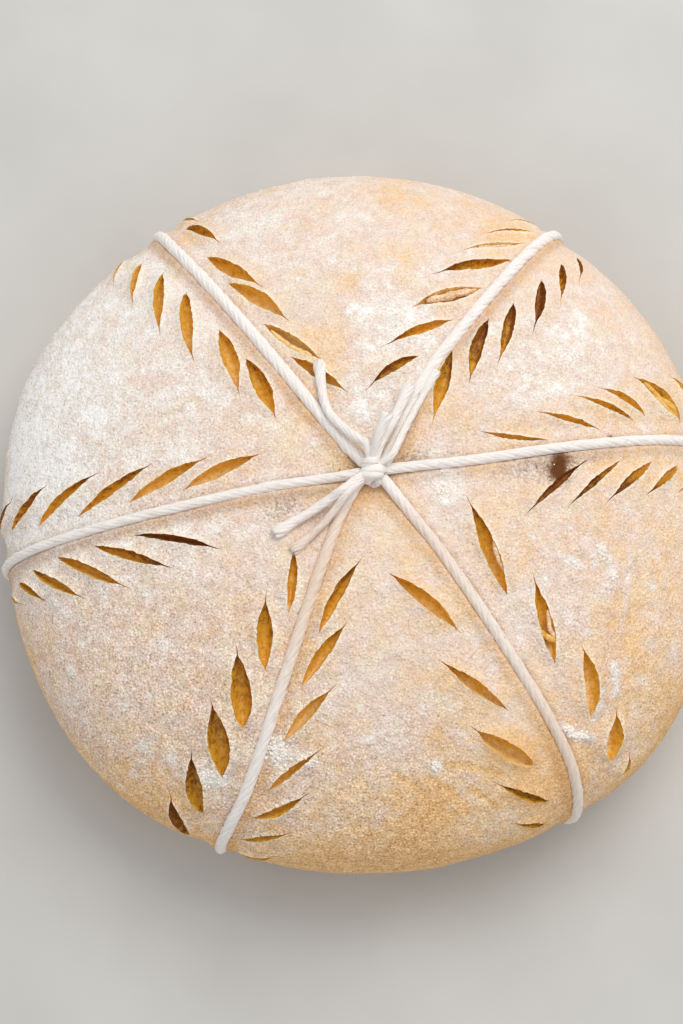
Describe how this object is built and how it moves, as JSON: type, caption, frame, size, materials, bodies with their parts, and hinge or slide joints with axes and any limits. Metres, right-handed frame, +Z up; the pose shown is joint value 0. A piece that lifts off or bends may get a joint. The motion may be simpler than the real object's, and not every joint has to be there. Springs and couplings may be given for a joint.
{
  "type": "sourdough loaf",
  "caption": "Round sourdough loaf, dusted with flour, tied with cotton string into lobes and scored with rows of slashes beside each string.",
  "frame": {"origin": "middle of the loaf's flat underside", "axes": "+Z up through the crown, -Y towards the near side of the pictured loaf, +X to its right"},
  "size_m": [0.2007, 0.2001, 0.0799],
  "materials": {
    "dough": "soft tan dough, dry and matt under a coat of flour, amber and moist inside the slashes",
    "string": "soft twisted cotton, off-white, floured and a little fuzzy"
  },
  "bodies": {
    "root": {"dough": "dough", "string_1": "string", "string_2": "string", "string_3": "string", "knot": "string"}
  },
  "joints": []
}
